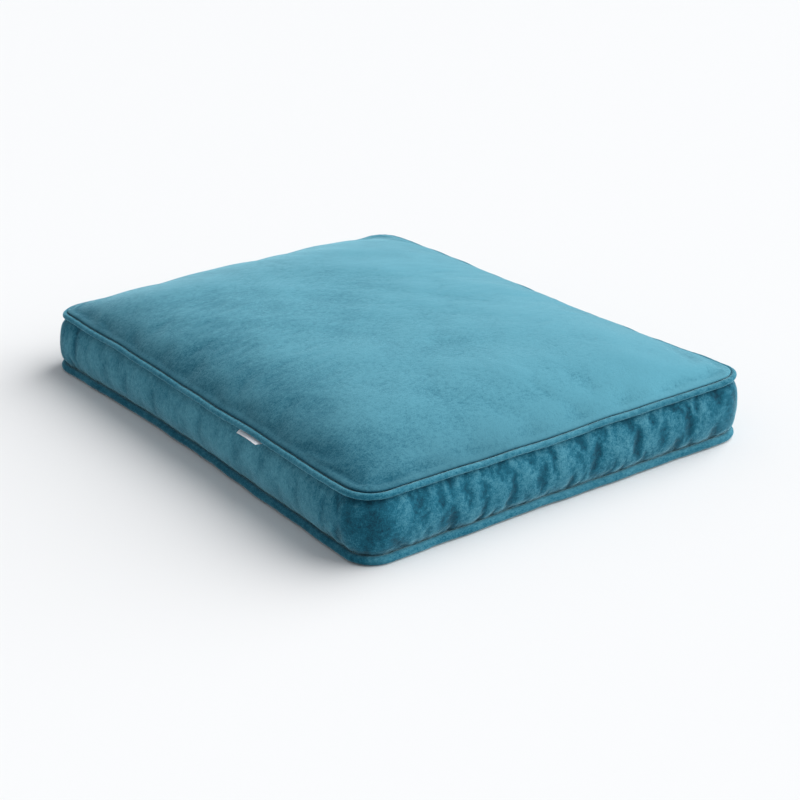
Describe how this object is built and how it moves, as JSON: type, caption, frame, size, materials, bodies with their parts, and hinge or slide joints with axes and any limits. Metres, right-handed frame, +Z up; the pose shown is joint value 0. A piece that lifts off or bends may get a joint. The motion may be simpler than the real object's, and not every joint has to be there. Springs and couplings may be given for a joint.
{
  "type": "pet cushion bed",
  "caption": "Rectangular pet bed cushion: crowned top, plain border with corded piping round both edges, and a zipped suede cover over a foam and wadding insert.",
  "frame": {"origin": "on the floor, under the middle of the cushion", "axes": "+Z up; +X along the long sides; the zip is in the border at +Y, and the label in the border at -Y"},
  "size_m": [0.737, 0.541, 0.1199],
  "materials": {
    "suede": "short brushed nap, teal, soft sheen",
    "cord_cotton": "undyed twisted cotton",
    "zip_cloth": "woven tape, dyed to the cover",
    "zip_nylon": "satin nylon coil",
    "zip_metal": "enamelled die casting, dyed to the cover",
    "label_satin": "white woven satin, blank",
    "liner_cloth": "thin unbleached cloth",
    "wadding": "bonded polyester fibre",
    "foam": "open cell polyurethane foam"
  },
  "bodies": {
    "cushion": {"top_panel": "suede", "bottom_panel": "suede", "border_main": "suede", "border_left": "suede", "top_piping_sleeve": "suede", "bottom_piping_sleeve": "suede", "zip_border_upper": "suede", "zip_border_lower": "suede", "top_piping_cord": "cord_cotton", "bottom_piping_cord": "cord_cotton", "zip_tape_upper": "zip_cloth", "zip_tape_lower": "zip_cloth", "zip_chain_upper": "zip_nylon", "zip_chain_lower": "zip_nylon", "zip_top_stop_upper": "zip_metal", "zip_top_stop_lower": "zip_metal", "zip_bottom_stop": "zip_metal", "side_label": "label_satin", "liner_top": "liner_cloth", "liner_bottom": "liner_cloth", "wadding_top": "wadding", "wadding_bottom": "wadding", "foam_slab": "foam"},
    "slider": {"zip_slider": "zip_metal"},
    "pull": {"zip_pull": "zip_metal"}
  },
  "joints": [
    {"name": "zip_slide", "type": "slide", "parent": "cushion", "child": "slider", "axis": [-1, 0, 0], "range_m": [0, 0.58], "deforming": ["zip_chain_upper", "zip_chain_lower"]},
    {"name": "zip_pull_hinge", "type": "hinge", "parent": "slider", "child": "pull", "pos_m": [0.28995, 0.26805, 0.04035], "axis": [0, 0, -1], "range_deg": [0, 170]}
  ]
}
